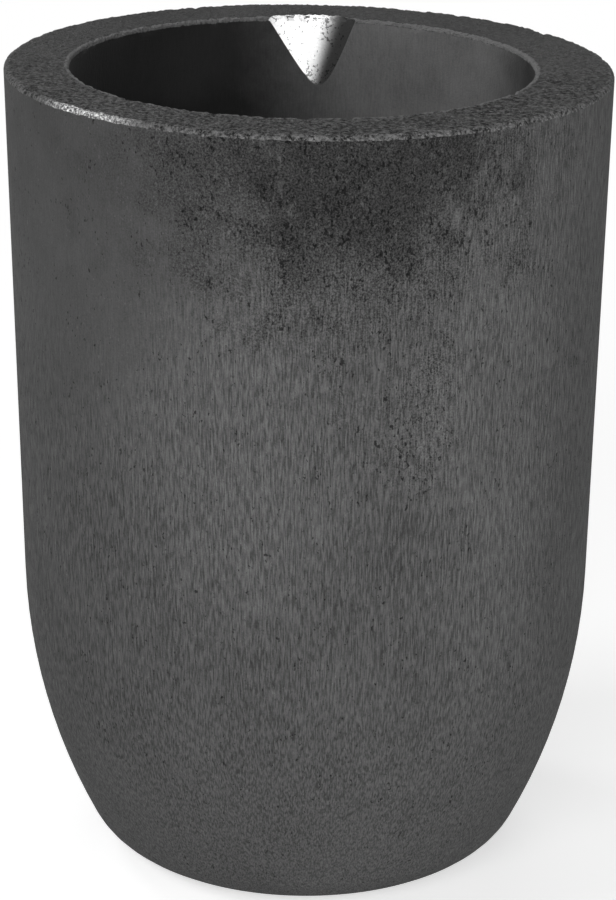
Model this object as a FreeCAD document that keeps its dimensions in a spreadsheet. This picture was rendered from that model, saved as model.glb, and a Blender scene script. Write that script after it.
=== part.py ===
"""Foundry crucible: one pot pressed from graphite and clay, with a pouring spout.

The pot stands on its base: origin in the middle of the base, +Z up, the spout
on the +Y side.  Millimetres and degrees.

The pot is one PartDesign body, made in the order that a pattern maker would
lay it out:
  1. Outside   a wall line, a belly arc and a foot arc, all tangent, revolved
  2. Bore      the same kind of chain over a dished floor, grooved out
  3. RimEdges  the outer and the inner edge of the rim, rounded
  4. Spout     a cone that leans into the bore, grooved out of wall and rim
"""
import FreeCAD, Part
import math
import os

import Sketcher

Vector = FreeCAD.Vector

# Driving dimensions: alias, value, meaning.
DIMENSIONS = (
    ("rim_diameter", 140.0, "outside diameter at the rim"),
    ("overall_height", 192.0, "base to rim"),
    ("base_diameter", 76.0, "the flat that the pot stands on"),
    ("foot_radius", 16.5, "arc from the base flat up to the belly"),
    ("belly_radius", 142.0, "arc from the foot up to the wall"),
    ("wall_draft", 1.1, "lean of the outside wall, degrees"),
    ("rim_wall", 16.5, "thickness of the wall at the rim"),
    ("bore_draft", 1.6, "lean of the bore wall, degrees"),
    ("bore_belly_radius", 80.0, "arc from the dished floor up to the bore wall"),
    ("floor_radius", 36.0, "dish of the floor"),
    ("floor_thickness", 20.0, "thickness in the middle of the floor"),
    ("outer_edge_radius", 1.8, "rounding of the outer edge of the rim"),
    ("inner_edge_radius", 1.0, "rounding of the inner edge of the rim"),
    ("spout_drop", 16.5, "rim down to the tip of the spout"),
    ("spout_bite", 2.9, "how far the spout runs into the rim"),
    ("spout_section_radius", 16.7, "radius of the hollow of the spout at the rim"),
    ("spout_cone_angle", 51.0, "full angle of the cone that forms the spout"),
    ("spout_overrun", 6.0, "how far that cone rises past the rim"),
)

# Expressions that more than one feature is bound to.
RIM_RADIUS = "Dimensions.rim_diameter / 2"
MOUTH_RADIUS = RIM_RADIUS + " - Dimensions.rim_wall"

# Ends of a sketch curve, as the solver numbers them.
START, END, CENTRE = 1, 2, 3
# The sketch's own origin point and vertical axis.
ORIGIN = (-1, 1)
VERTICAL_AXIS = -2

VERTICAL = math.pi / 2


def add_sheet(document):
    """Put the driving dimensions in a spreadsheet, one alias to a row."""
    sheet = document.addObject("Spreadsheet::Sheet", "Dimensions")
    for row, (alias, value, meaning) in enumerate(DIMENSIONS, start=1):
        sheet.set("A%d" % row, meaning)
        sheet.set("B%d" % row, str(value))
        sheet.setAlias("B%d" % row, alias)
    document.recompute()
    return sheet


def add_sketch(body, name, role):
    """Start a sketch on one of the body's own origin planes."""
    sketch = body.newObject("Sketcher::SketchObject", name)
    plane = next(p for p in body.Origin.OriginFeatures if p.Role == role)
    sketch.AttachmentSupport = [(plane, "")]
    sketch.MapMode = "FlatFace"
    return sketch


def constrain(sketch, *constraint):
    """Add one constraint that has no size."""
    sketch.addConstraint(Sketcher.Constraint(*constraint))


def dimension(sketch, name, expression, *constraint):
    """Add one constraint that has a size, and bind it to an expression."""
    index = sketch.addConstraint(Sketcher.Constraint(*constraint))
    sketch.renameConstraint(index, name)
    sketch.setExpression("Constraints." + name, expression)


def belly_centre(wall_top, lean, belly_radius, end_centre, end_radius):
    """Centre of the arc that touches a leaning wall and a smaller arc below it.

    The wall runs down and inwards from its top.  The small arc lies inside the
    belly arc, so the two centres are the difference of the radii apart.
    """
    down = Vector(-math.sin(lean), -math.cos(lean), 0)
    inwards = Vector(-math.cos(lean), math.sin(lean), 0)
    offset = wall_top + inwards * belly_radius - end_centre
    along = offset.dot(down)
    reach = math.sqrt(along ** 2 - offset.dot(offset) + (belly_radius - end_radius) ** 2)
    return end_centre + offset - down * (along + reach)


def add_pot_curves(sketch, wall_top, draft, belly_radius, end_centre, end_radius):
    """Draw the three tangent curves of a pot's side, from the bottom up.

    Returns the small arc, the belly arc and the wall line.
    """
    lean = math.radians(draft)
    centre = belly_centre(wall_top, lean, belly_radius, end_centre, end_radius)
    turn = math.atan2(end_centre.y - centre.y, end_centre.x - centre.x)
    wall_foot = centre + Vector(math.cos(lean), -math.sin(lean), 0) * belly_radius
    normal = Vector(0, 0, 1)
    small_circle = Part.Circle(end_centre, normal, end_radius)
    belly_circle = Part.Circle(centre, normal, belly_radius)
    small_arc = sketch.addGeometry(Part.ArcOfCircle(small_circle, -VERTICAL, turn))
    belly_arc = sketch.addGeometry(Part.ArcOfCircle(belly_circle, turn, -lean))
    wall = sketch.addGeometry(Part.LineSegment(wall_foot, wall_top))
    constrain(sketch, "Tangent", small_arc, END, belly_arc, START)
    constrain(sketch, "Tangent", belly_arc, END, wall, START)
    return small_arc, belly_arc, wall


def close_over_rim(sketch, wall, wall_top, axis_foot):
    """Close a pot's side along the rim and down the axis.

    Returns the axis line, which ends where the bottom of the profile starts.
    """
    axis_top = Vector(0, wall_top.y, 0)
    rim = sketch.addGeometry(Part.LineSegment(wall_top, axis_top))
    axis = sketch.addGeometry(Part.LineSegment(axis_top, axis_foot))
    constrain(sketch, "Coincident", wall, END, rim, START)
    constrain(sketch, "Coincident", rim, END, axis, START)
    constrain(sketch, "Horizontal", rim)
    constrain(sketch, "PointOnObject", axis, START, VERTICAL_AXIS)
    return axis


def draw_outside(sketch, sheet):
    """Half of the outside: base flat, foot, belly, wall, rim and axis."""
    base_radius = sheet.base_diameter / 2
    wall_top = Vector(sheet.rim_diameter / 2, sheet.overall_height, 0)
    foot_centre = Vector(base_radius, sheet.foot_radius, 0)
    foot, belly, wall = add_pot_curves(
        sketch, wall_top, sheet.wall_draft, sheet.belly_radius, foot_centre, sheet.foot_radius)
    base = sketch.addGeometry(Part.LineSegment(Vector(0, 0, 0), Vector(base_radius, 0, 0)))
    axis = close_over_rim(sketch, wall, wall_top, Vector(0, 0, 0))
    constrain(sketch, "Coincident", base, START, *ORIGIN)
    constrain(sketch, "Coincident", axis, END, base, START)
    constrain(sketch, "Horizontal", base)
    constrain(sketch, "Tangent", base, END, foot, START)

    dimension(sketch, "base_radius", "Dimensions.base_diameter / 2",
              "DistanceX", *ORIGIN, base, END, base_radius)
    dimension(sketch, "foot_radius", "Dimensions.foot_radius",
              "Radius", foot, sheet.foot_radius)
    dimension(sketch, "belly_radius", "Dimensions.belly_radius",
              "Radius", belly, sheet.belly_radius)
    dimension(sketch, "rim_radius", RIM_RADIUS,
              "DistanceX", *ORIGIN, wall, END, wall_top.x)
    dimension(sketch, "rim_height", "Dimensions.overall_height",
              "DistanceY", *ORIGIN, wall, END, wall_top.y)
    dimension(sketch, "wall_angle", "90 - Dimensions.wall_draft",
              "Angle", wall, VERTICAL - math.radians(sheet.wall_draft))


def draw_bore(sketch, sheet):
    """Half of the bore: dished floor, belly, wall, rim and axis."""
    mouth_radius = sheet.rim_diameter / 2 - sheet.rim_wall
    wall_top = Vector(mouth_radius, sheet.overall_height, 0)
    dish_centre = Vector(0, sheet.floor_thickness + sheet.floor_radius, 0)
    floor, belly, wall = add_pot_curves(
        sketch, wall_top, sheet.bore_draft, sheet.bore_belly_radius,
        dish_centre, sheet.floor_radius)
    axis = close_over_rim(sketch, wall, wall_top, Vector(0, sheet.floor_thickness, 0))
    constrain(sketch, "Coincident", axis, END, floor, START)
    constrain(sketch, "PointOnObject", floor, START, VERTICAL_AXIS)
    constrain(sketch, "PointOnObject", floor, CENTRE, VERTICAL_AXIS)

    dimension(sketch, "floor_height", "Dimensions.floor_thickness",
              "DistanceY", *ORIGIN, floor, START, sheet.floor_thickness)
    dimension(sketch, "floor_radius", "Dimensions.floor_radius",
              "Radius", floor, sheet.floor_radius)
    dimension(sketch, "belly_radius", "Dimensions.bore_belly_radius",
              "Radius", belly, sheet.bore_belly_radius)
    dimension(sketch, "mouth_radius", MOUTH_RADIUS,
              "DistanceX", *ORIGIN, wall, END, mouth_radius)
    dimension(sketch, "rim_height", "Dimensions.overall_height",
              "DistanceY", *ORIGIN, wall, END, wall_top.y)
    dimension(sketch, "wall_angle", "90 - Dimensions.bore_draft",
              "Angle", wall, VERTICAL - math.radians(sheet.bore_draft))


def draw_spout(sketch, sheet):
    """Half of the spout's cone: valley line, cap and the cone's own axis.

    The valley is the deepest line of the spout.  It leaves the bore wall at the
    tip and runs out past the mouth by the bite at the rim.  A plane that cuts a
    cone leaves a curve whose radius, where it is sharpest, is the distance of
    the plane from the apex times the tangent of the half angle, and this puts
    the apex at its depth below the rim.
    """
    rim_height = sheet.overall_height
    mouth_radius = sheet.rim_diameter / 2 - sheet.rim_wall
    half_angle = math.radians(sheet.spout_cone_angle / 2)
    lip = Vector(mouth_radius + sheet.spout_bite, rim_height, 0)
    tip = Vector(mouth_radius - sheet.spout_drop * math.tan(math.radians(sheet.bore_draft)),
                 rim_height - sheet.spout_drop, 0)
    valley_way = (lip - tip) / (lip.y - tip.y)
    apex_depth = sheet.spout_section_radius / math.tan(half_angle)
    apex = lip - valley_way * apex_depth
    valley_top = lip + valley_way * sheet.spout_overrun
    cone_height = (valley_top - apex).Length * math.cos(half_angle)
    axis_angle = math.atan2(valley_way.y, valley_way.x) + half_angle
    cap_middle = apex + Vector(math.cos(axis_angle), math.sin(axis_angle), 0) * cone_height

    valley = sketch.addGeometry(Part.LineSegment(apex, valley_top))
    cap = sketch.addGeometry(Part.LineSegment(valley_top, cap_middle))
    axis = sketch.addGeometry(Part.LineSegment(cap_middle, apex))
    constrain(sketch, "Coincident", valley, END, cap, START)
    constrain(sketch, "Coincident", cap, END, axis, START)
    constrain(sketch, "Coincident", axis, END, valley, START)
    constrain(sketch, "Perpendicular", cap, axis)

    lip_point = sketch.addGeometry(Part.Point(lip), True)
    tip_point = sketch.addGeometry(Part.Point(tip), True)
    constrain(sketch, "PointOnObject", lip_point, START, valley)
    constrain(sketch, "PointOnObject", tip_point, START, valley)

    dimension(sketch, "lip_radius", MOUTH_RADIUS + " + Dimensions.spout_bite",
              "DistanceX", *ORIGIN, lip_point, START, lip.x)
    dimension(sketch, "lip_height", "Dimensions.overall_height",
              "DistanceY", *ORIGIN, lip_point, START, lip.y)
    dimension(sketch, "tip_radius",
              MOUTH_RADIUS + " - Dimensions.spout_drop * tan(Dimensions.bore_draft)",
              "DistanceX", *ORIGIN, tip_point, START, tip.x)
    dimension(sketch, "tip_height", "Dimensions.overall_height - Dimensions.spout_drop",
              "DistanceY", *ORIGIN, tip_point, START, tip.y)
    dimension(sketch, "apex_depth",
              "Dimensions.spout_section_radius / tan(Dimensions.spout_cone_angle / 2)",
              "DistanceY", valley, START, lip_point, START, apex_depth)
    dimension(sketch, "overrun", "Dimensions.spout_overrun",
              "DistanceY", lip_point, START, valley, END, sheet.spout_overrun)
    dimension(sketch, "half_angle", "Dimensions.spout_cone_angle / 2",
              "Angle", valley, START, axis, END, half_angle)
    return axis


def turn_about(body, kind, name, sketch, axis):
    """Revolve a sketch a full turn, as metal added or as metal taken away."""
    feature = body.newObject("PartDesign::" + kind, name)
    feature.Profile = (sketch, [])
    feature.ReferenceAxis = (sketch, [axis])
    feature.Angle = 360.0
    sketch.Document.recompute()
    return feature


def rim_edge(shape, radius, height):
    """Name of the circle of one radius in the plane of the rim."""
    for number, edge in enumerate(shape.Edges, start=1):
        curve = edge.Curve
        if (isinstance(curve, Part.Circle)
                and math.isclose(curve.Radius, radius, abs_tol=1e-4)
                and math.isclose(curve.Center.z, height, abs_tol=1e-4)):
            return "Edge%d" % number
    raise RuntimeError("no rim edge of radius %.3f" % radius)


def round_edge(body, name, base, edge, radius_alias):
    """Round one edge of the feature made before."""
    fillet = body.newObject("PartDesign::Fillet", name)
    fillet.Base = (base, [edge])
    fillet.setExpression("Radius", "Dimensions." + radius_alias)
    body.Document.recompute()
    return fillet


def build_crucible(document, sheet):
    """The whole pot, as one body."""
    body = document.addObject("PartDesign::Body", "Crucible")
    body.Label = "crucible"
    rim_radius = sheet.rim_diameter / 2
    mouth_radius = rim_radius - sheet.rim_wall

    outside_sketch = add_sketch(body, "OutsideProfile", "XZ_Plane")
    draw_outside(outside_sketch, sheet)
    turn_about(body, "Revolution", "Outside", outside_sketch, "V_Axis")

    bore_sketch = add_sketch(body, "BoreProfile", "XZ_Plane")
    draw_bore(bore_sketch, sheet)
    bore = turn_about(body, "Groove", "Bore", bore_sketch, "V_Axis")

    outer_edge = rim_edge(bore.Shape, rim_radius, sheet.overall_height)
    rounded = round_edge(body, "OuterRimEdge", bore, outer_edge, "outer_edge_radius")
    inner_edge = rim_edge(rounded.Shape, mouth_radius, sheet.overall_height)
    round_edge(body, "InnerRimEdge", rounded, inner_edge, "inner_edge_radius")

    spout_sketch = add_sketch(body, "SpoutProfile", "YZ_Plane")
    spout_axis = draw_spout(spout_sketch, sheet)
    turn_about(body, "Groove", "Spout", spout_sketch, "Edge%d" % (spout_axis + 1))
    return body


def check(document):
    """Stop on any failed object, on a loose sketch and on a cut that cuts nothing."""
    for item in document.Objects:
        if {"Invalid", "Error"} & set(item.State):
            raise RuntimeError("%s: %s" % (item.Name, item.State))
        if item.TypeId == "Sketcher::SketchObject" and not item.FullyConstrained:
            raise RuntimeError("%s is not fully constrained" % item.Name)
        if item.TypeId in ("PartDesign::Groove", "PartDesign::Fillet"):
            if item.Shape.Volume >= item.BaseFeature.Shape.Volume - 1:
                raise RuntimeError("%s takes nothing away" % item.Name)


def write_steps(bodies):
    """Write each sub-part's solid to its own STEP file, named by its label."""
    os.makedirs("parts", exist_ok=True)
    for body in bodies:
        shape = body.Shape
        if shape.isNull() or not shape.isValid() or len(shape.Solids) != 1:
            raise RuntimeError("%s is not one valid solid" % body.Label)
        shape.exportStep("parts/%s.step" % body.Label)
        print("%s: %.1f cm3" % (body.Label, shape.Volume / 1000))


def main():
    document = FreeCAD.newDocument("FoundryCrucible")
    sheet = add_sheet(document)
    bodies = [build_crucible(document, sheet)]
    document.recompute()
    check(document)
    write_steps(bodies)


main()
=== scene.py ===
"""Looks of the foundry crucible: a pot pressed from graphite and clay.

The pot is one piece.  Its section is a chain of lines and arcs, which a
Geometry Nodes tree turns round the axis, wears at the rim and hollows out for
the pouring notch.  Three finishes cover it: the dry streaked outside, the
granular rim, and the satin bore with its burnished notch.  They hold painted
light: painted highlights and painted shade on the outside, a bore painted dark
as shade with a painted highlight on one wall, a painted highlight and painted
shade on the notch's two flanks, a painted glint on the rim's outer edge, and
light specks on the grain that are painted highlights.
"""

import logging
import math
from dataclasses import dataclass
from enum import Enum
from typing import Dict, List, Sequence, Tuple, Union

import bpy
from mathutils import Matrix, Vector


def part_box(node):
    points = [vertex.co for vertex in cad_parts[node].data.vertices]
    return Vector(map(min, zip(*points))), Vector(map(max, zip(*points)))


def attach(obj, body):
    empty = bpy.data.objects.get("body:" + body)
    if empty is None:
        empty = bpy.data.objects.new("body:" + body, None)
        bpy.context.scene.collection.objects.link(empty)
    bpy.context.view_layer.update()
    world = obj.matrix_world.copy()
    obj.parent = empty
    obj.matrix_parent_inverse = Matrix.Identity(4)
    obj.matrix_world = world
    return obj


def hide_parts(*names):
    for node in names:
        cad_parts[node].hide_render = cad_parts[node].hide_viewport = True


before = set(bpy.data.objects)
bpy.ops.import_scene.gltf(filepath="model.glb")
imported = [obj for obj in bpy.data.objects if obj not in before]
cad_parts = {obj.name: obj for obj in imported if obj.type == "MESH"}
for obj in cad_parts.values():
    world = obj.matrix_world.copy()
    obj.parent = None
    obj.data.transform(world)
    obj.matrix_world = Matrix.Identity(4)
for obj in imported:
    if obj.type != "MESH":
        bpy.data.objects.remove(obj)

LOG = logging.getLogger("crucible")

Socket = bpy.types.NodeSocket
Tree = bpy.types.NodeTree
Source = Union[float, int, Sequence[float], Socket]
MM = 0.001


class Zone(Enum):
    """The parts of the pot's surface that have a finish of their own."""

    OUTSIDE = 0
    RIM = 1
    BORE = 2


Materials = Dict[Zone, bpy.types.Material]


def new_object(name: str, data: bpy.types.ID) -> bpy.types.Object:
    """Put new data into the scene as an object, and return the object."""
    made = bpy.data.objects.new(name, data)
    bpy.context.scene.collection.objects.link(made)
    return made


# ---------------------------------------------------------------- node graphs


class Graph:
    """Adds nodes to one node tree and links them."""

    def __init__(self, tree: Tree) -> None:
        """Work on a geometry or shader tree."""
        self.tree = tree

    def add(self, kind: str, **settings: object) -> bpy.types.Node:
        """Add one node of a kind, with its settings as attributes, and return it."""
        node = self.tree.nodes.new(kind)
        for name, value in settings.items():
            setattr(node, name, value)
        return node

    def feed(self, socket: Socket, source: Source) -> None:
        """Link a socket to an output, or give it a constant."""
        if isinstance(source, bpy.types.NodeSocket):
            self.tree.links.new(source, socket)
        else:
            socket.default_value = source

    def make(self, kind: str, inputs: Dict[str, Source], **settings: object) -> bpy.types.Node:
        """Add one node and feed its inputs by name.

        Args:
            kind: the node's type name.
            inputs: input name to source.
            settings: attributes to set on the node.

        Returns:
            The new node.
        """
        node = self.add(kind, **settings)
        for name, source in inputs.items():
            self.feed(node.inputs[name], source)
        return node

    def join(self, kind: str, *sources: Source, **settings: object) -> Socket:
        """Add one node and feed its inputs in order.

        Args:
            kind: the node's type name.
            sources: what goes into its first inputs.
            settings: attributes to set on the node.

        Returns:
            The node's first output.
        """
        node = self.add(kind, **settings)
        for socket, source in zip(node.inputs, sources):
            self.feed(socket, source)
        return node.outputs[0]

    def math(self, operation: str, *sources: Source) -> Socket:
        """Calculate with numbers, by a Math node's operation."""
        return self.join("ShaderNodeMath", *sources, operation=operation)

    def moved(self, vector: Source, offset: Source) -> Socket:
        """Add two vectors."""
        return self.join("ShaderNodeVectorMath", vector, offset, operation="ADD")

    def combine(self, x: Source, y: Source, z: Source) -> Socket:
        """Make a vector of three numbers."""
        return self.join("ShaderNodeCombineXYZ", x, y, z)

    def split(self, vector: Source) -> Tuple[Socket, ...]:
        """Take a vector apart into its three numbers."""
        return tuple(self.make("ShaderNodeSeparateXYZ", {"Vector": vector}).outputs)

    def stretched(self, vector: Source, share: Source) -> Socket:
        """Keep a share of a point's height, so that noise read there is drawn out."""
        x, y, z = self.split(vector)
        return self.combine(x, y, self.math("MULTIPLY", z, share))

    def attribute(self, name: str) -> Socket:
        """Read a number that is stored on the mesh, in a material."""
        return self.add("ShaderNodeAttribute", attribute_name=name).outputs["Fac"]

    def direct(self) -> Socket:
        """1 for rays that show things, 0 for rays that light them."""
        rays = self.add("ShaderNodeLightPath").outputs
        seen = self.math("MAXIMUM", rays["Is Camera Ray"], rays["Is Glossy Ray"])
        return self.math("MAXIMUM", seen, rays["Is Transmission Ray"])

    def noise(self, vector: Source, scale: Source, detail: float = 2.0,
              roughness: float = 0.5) -> Socket:
        """Sample smooth noise.

        Args:
            vector: where to sample it.
            scale: lumps in a metre.
            detail: how many finer layers are added.
            roughness: how strong the finer layers are.

        Returns:
            The socket of a value that is mostly between 0.3 and 0.7.
        """
        node = self.make("ShaderNodeTexNoise", {
            "Vector": vector, "Scale": scale, "Detail": detail, "Roughness": roughness})
        return node.outputs[0]

    def ramp(self, value: Source, low: Source, high: Source, start: Source = 0.0,
             end: Source = 1.0) -> Socket:
        """Map a value smoothly from one range to another, and stop at its ends.

        Args:
            value: the number to map.
            low: where the first range starts.
            high: where it ends.
            start: the result at low.
            end: the result at high.

        Returns:
            The result's socket.
        """
        node = self.make("ShaderNodeMapRange", {
            "Value": value, "From Min": low, "From Max": high, "To Min": start, "To Max": end},
            interpolation_type="SMOOTHSTEP")
        return node.outputs[0]

def new_group(name: str, kind: str, inputs: Dict[str, object],
              output: str) -> Tuple[Graph, Dict[str, Socket], Socket]:
    """Start a node group with named sockets.

    Args:
        name: the group's name.
        kind: ShaderNodeTree or GeometryNodeTree.
        inputs: default of each input by name.  None makes it a point in a
            shader tree and a geometry in a geometry tree.
        output: the output's name.

    Returns:
        The graph, the input sockets by name, and the output's socket.
    """
    shading = kind == "ShaderNodeTree"
    kinds = {float: "NodeSocketFloat", int: "NodeSocketInt",
             type(None): "NodeSocketVector" if shading else "NodeSocketGeometry"}
    tree = bpy.data.node_groups.new(name, kind)
    for label, default in inputs.items():
        socket = tree.interface.new_socket(
            name=label, in_out="INPUT", socket_type=kinds[type(default)])
        if default is not None:
            socket.default_value = default
    tree.interface.new_socket(
        name=output, in_out="OUTPUT", socket_type=kinds[float if shading else type(None)])
    graph = Graph(tree)
    given = {socket.name: socket for socket in graph.add("NodeGroupInput").outputs if socket.name}
    return graph, given, graph.add("NodeGroupOutput").inputs[0]


# -------------------------------------------------------------------- section


@dataclass(frozen=True)
class Station:
    """One point of the pot's section, which becomes one ring of the mesh.

    Args:
        radius: distance from the axis.
        height: height over the base.
        zone: the finish that starts here.
        shift: share of the bore's shift off the axis that the ring takes.
        push: share of the notch's push that the ring takes.
        push_radius: the radius at which that push is measured.
        outer_wear: how near the ring is to the rim's outer edge, from 0 to 1.
        inner_wear: how near it is to the rim's inner edge, from 0 to 1.
    """

    radius: float
    height: float
    zone: Zone
    shift: float = 0.0
    push: float = 0.0
    push_radius: float = 0.0
    outer_wear: float = 0.0
    inner_wear: float = 0.0


@dataclass(frozen=True)
class Rows:
    """How many rings of the mesh each part of the section gets.

    Args are the parts in order, from the middle of the base to the middle of
    the bore's floor.  The rounded ones count both of their ends.
    """

    base: int = 4
    foot: int = 10
    belly: int = 13
    wall: int = 9
    worn_wall: int = 8
    outer_edge: int = 9
    rim: int = 32
    inner_edge: int = 6
    notch: int = 44
    bore: int = 6
    bore_belly: int = 9
    floor: int = 8


@dataclass
class PotSection:
    """The pot's section: its sizes in metres and degrees, and its stations.

    Args:
        rim_radius: outside radius at the rim.
        height: base to rim.
        rows: how many rings each part gets.
        notch_rows_depth: how far down the notch's close rings go.
        push_band: how far from the inner edge the notch moves the rim.
        worn_band: how far under the rim the wall has close rings.
        wall_wear: how far under the rim the outer edge is worn.
        rim_wear: how far in from the outer edge the rim is worn.
        lip_wear: how far from the inner edge the rim and the bore are worn.
        shift_height: the height from which the whole bore is off the axis.
    """

    rim_radius: float
    height: float
    base_radius: float = 38.0 * MM
    foot_radius: float = 16.5 * MM
    belly_radius: float = 142.0 * MM
    wall_draft: float = 1.1
    rim_wall: float = 16.5 * MM
    bore_draft: float = 1.6
    bore_belly_radius: float = 80.0 * MM
    floor_radius: float = 36.0 * MM
    floor_thickness: float = 20.0 * MM
    outer_edge_radius: float = 1.1 * MM
    inner_edge_radius: float = 0.7 * MM
    notch_rows_depth: float = 18.0 * MM
    push_band: float = 6.0 * MM
    worn_band: float = 5.0 * MM
    wall_wear: float = 4.0 * MM
    rim_wear: float = 3.0 * MM
    lip_wear: float = 1.5 * MM
    shift_height: float = 120.0 * MM
    rows: Rows = Rows()

    @property
    def mouth_radius(self) -> float:
        """Radius of the bore in the plane of the rim."""
        return self.rim_radius - self.rim_wall

    @staticmethod
    def _arc(centre: Vector, radius: float, start: float, end: float,
             count: int) -> List[Vector]:
        """Points along an arc, both ends included.

        Args:
            centre: the arc's centre, as radius and height.
            radius: the arc's radius.
            start: first angle, in radians from the outward level.
            end: last angle.
            count: number of points.

        Returns:
            The points, as radius and height.
        """
        angles = [start + (end - start) * i / (count - 1) for i in range(count)]
        return [centre + Vector((math.cos(a), math.sin(a))) * radius for a in angles]

    @staticmethod
    def _line(start: Vector, end: Vector, count: int) -> List[Vector]:
        """Points between two points, neither end included."""
        return [start.lerp(end, i / (count + 1)) for i in range(1, count + 1)]

    def _belly(self, wall_top: Vector, draft: float, radius: float, end_centre: Vector,
               end_radius: float) -> Tuple[Vector, float, float]:
        """Find the arc that touches a leaning wall and a smaller arc below it.

        Args:
            wall_top: top of the wall line.
            draft: how far the wall leans in, in degrees.
            radius: the arc's radius.
            end_centre: centre of the smaller arc.
            end_radius: radius of the smaller arc.

        Returns:
            The arc's centre, the angle where the smaller arc ends, and the
            angle where the wall starts.
        """
        lean = math.radians(draft)
        down = Vector((-math.sin(lean), -math.cos(lean)))
        inwards = Vector((-math.cos(lean), math.sin(lean)))
        offset = wall_top + inwards * radius - end_centre
        along = offset.dot(down)
        reach = math.sqrt(along ** 2 - offset.dot(offset) + (radius - end_radius) ** 2)
        centre = end_centre + offset - down * (along + reach)
        turn = math.atan2(end_centre.y - centre.y, end_centre.x - centre.x)
        return centre, turn, -lean

    def outside(self) -> List[Vector]:
        """Points of the outside, from the middle of the base up to the rim's edge."""
        quarter = math.pi / 2
        foot_centre = Vector((self.base_radius, self.foot_radius))
        wall_top = Vector((self.rim_radius, self.height))
        belly_centre, turn, wall_angle = self._belly(
            wall_top, self.wall_draft, self.belly_radius, foot_centre, self.foot_radius)
        middle = Vector((0.0, 0.0))
        flat_end = Vector((self.base_radius, 0.0))
        points = [middle] + self._line(middle, flat_end, self.rows.base)
        points += self._arc(foot_centre, self.foot_radius, -quarter, turn, self.rows.foot)
        points += self._arc(belly_centre, self.belly_radius, turn, wall_angle,
                            self.rows.belly)[1:]
        edge = self._outer_edge()[0]
        worn = edge.lerp(points[-1], self.worn_band / (edge - points[-1]).length)
        points += self._line(points[-1], worn, self.rows.wall) + [worn]
        return points + self._line(worn, edge, self.rows.worn_wall)

    def _outer_edge(self) -> List[Vector]:
        """Points of the rounding on the rim's outer edge, from below."""
        lean = math.radians(self.wall_draft)
        radius = self.outer_edge_radius
        reach = self.rim_radius - radius * math.tan(lean) - radius / math.cos(lean)
        centre = Vector((reach, self.height - radius))
        return self._arc(centre, radius, -lean, math.pi / 2, self.rows.outer_edge)

    def _inner_edge(self) -> List[Vector]:
        """Points of the rounding on the rim's inner edge, from the top."""
        lean = math.radians(self.bore_draft)
        radius = self.inner_edge_radius
        reach = self.mouth_radius - radius * math.tan(lean) + radius / math.cos(lean)
        centre = Vector((reach, self.height - radius))
        return self._arc(centre, radius, math.pi / 2, math.pi - lean, self.rows.inner_edge)

    def bore(self, wall_start: Vector) -> List[Vector]:
        """Points of the bore, from under the inner edge down to the floor's middle."""
        dish_centre = Vector((0.0, self.floor_thickness + self.floor_radius))
        wall_top = Vector((self.mouth_radius, self.height))
        belly_centre, turn, wall_angle = self._belly(
            wall_top, self.bore_draft, self.bore_belly_radius, dish_centre, self.floor_radius)
        belly = self._arc(belly_centre, self.bore_belly_radius, wall_angle, turn,
                          self.rows.bore_belly)
        down = (belly[0] - wall_start).normalized()
        notch_end = wall_start + down * self.notch_rows_depth
        points = self._line(wall_start, notch_end, self.rows.notch) + [notch_end]
        points += self._line(notch_end, belly[0], self.rows.bore) + belly
        return points + self._arc(dish_centre, self.floor_radius, turn, -math.pi / 2,
                                  self.rows.floor)[1:]

    def stations(self) -> List[Station]:
        """List the section's stations, from the base round to the bore's floor."""
        outer_edge = self._outer_edge()
        inner_edge = self._inner_edge()
        start, end = outer_edge[-1], inner_edge[0]
        result = []
        for point in self.outside():
            wear = max(0.0, 1.0 - (self.height - point.y) / self.wall_wear)
            result.append(Station(point.x, point.y, Zone.OUTSIDE, outer_wear=wear))
        for point in outer_edge:
            result.append(Station(point.x, point.y, Zone.RIM, outer_wear=1.0))
        for point in self._line(start, end, self.rows.rim):
            share = (start.x - point.x) / (start.x - end.x)
            push = max(0.0, 1.0 - (point.x - end.x) / self.push_band)
            outer = max(0.0, 1.0 - (start.x - point.x) / self.rim_wear)
            inner = max(0.0, 1.0 - (point.x - end.x) / self.lip_wear)
            result.append(Station(point.x, point.y, Zone.RIM, share, push, end.x, outer, inner))
        for point in inner_edge:
            result.append(Station(point.x, point.y, Zone.RIM, 1.0, 1.0, point.x, 0.0, 1.0))
        for point in self.bore(inner_edge[-1]):
            inner = max(0.0, 1.0 - (inner_edge[-1].y - point.y) / self.lip_wear)
            share = min(1.0, point.y / self.shift_height)
            result.append(Station(point.x, point.y, Zone.BORE, share, 1.0, point.x, 0.0, inner))
        for end_index in (0, -1):
            pole = result[end_index]
            result[end_index] = Station(0.0, pole.height, pole.zone)
        return result


# ---------------------------------------------------------------------- notch


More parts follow.
